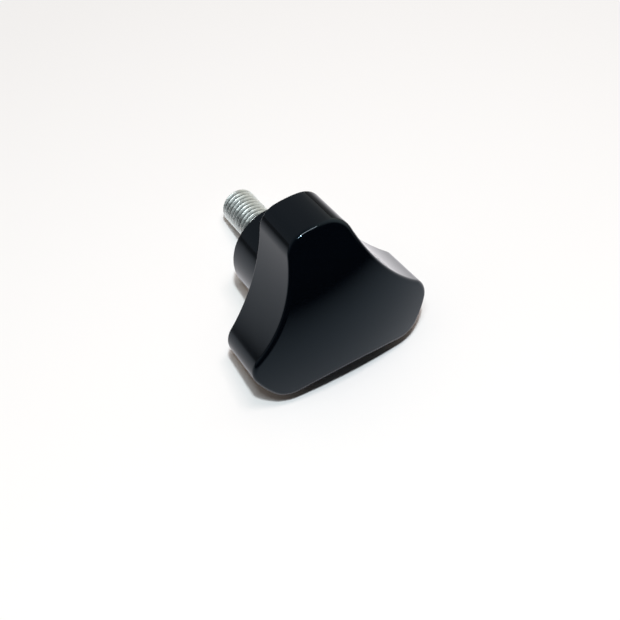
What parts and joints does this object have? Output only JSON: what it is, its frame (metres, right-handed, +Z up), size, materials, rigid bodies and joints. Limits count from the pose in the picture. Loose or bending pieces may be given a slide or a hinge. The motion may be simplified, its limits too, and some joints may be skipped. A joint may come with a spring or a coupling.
{
  "type": "star knob",
  "caption": "Glossy black three-lobe clamping knob with a domed face, a round hub and a threaded steel stud, lying on its side.",
  "frame": {"origin": "on the surface that the knob lies on, under the middle of its bounding box", "axes": "+Z up; -Y is the way the domed front faces, tilted up; the stud points along +Y and down; +X completes the frame, across the two lower lobes"},
  "size_m": [0.0398, 0.0504, 0.0376],
  "materials": {
    "black_plastic": "moulded phenolic, polished gloss",
    "zinc_steel": "rolled thread, bright zinc plated"
  },
  "bodies": {
    "root": {"knob_body": "black_plastic", "threaded_stud": "zinc_steel"}
  },
  "joints": []
}
